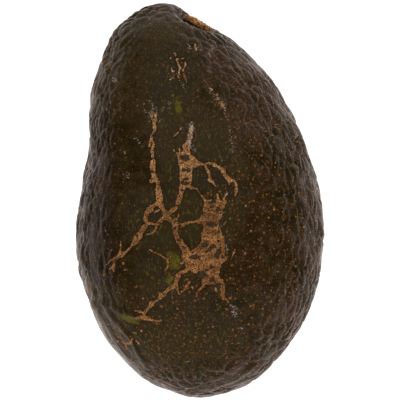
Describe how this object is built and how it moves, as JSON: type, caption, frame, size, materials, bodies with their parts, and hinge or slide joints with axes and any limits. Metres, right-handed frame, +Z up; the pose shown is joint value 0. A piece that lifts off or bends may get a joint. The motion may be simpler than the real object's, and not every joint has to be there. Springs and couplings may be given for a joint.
{
  "type": "avocado",
  "caption": "Whole dark-skinned avocado lying on its side: a pear-shaped fruit with a pebbly skin, a corky net scar and a dry stem button in its socket.",
  "frame": {"origin": "middle of the object's box in plan, at the height of the surface it rests on", "axes": "+Y along the fruit from the blossom end to the neck, +Z up, +X to the side that the stem leans to"},
  "size_m": [0.0652, 0.105, 0.0614],
  "materials": {
    "avocado_skin": "pebbly dark olive-brown rind with a waxy satin bloom, orange-brown pores and a raised tan cork scar",
    "dry_cork": "rough dry tan cork, crumbly and matt"
  },
  "bodies": {
    "root": {"fruit_body": "avocado_skin", "stem_button": "dry_cork"}
  },
  "joints": []
}
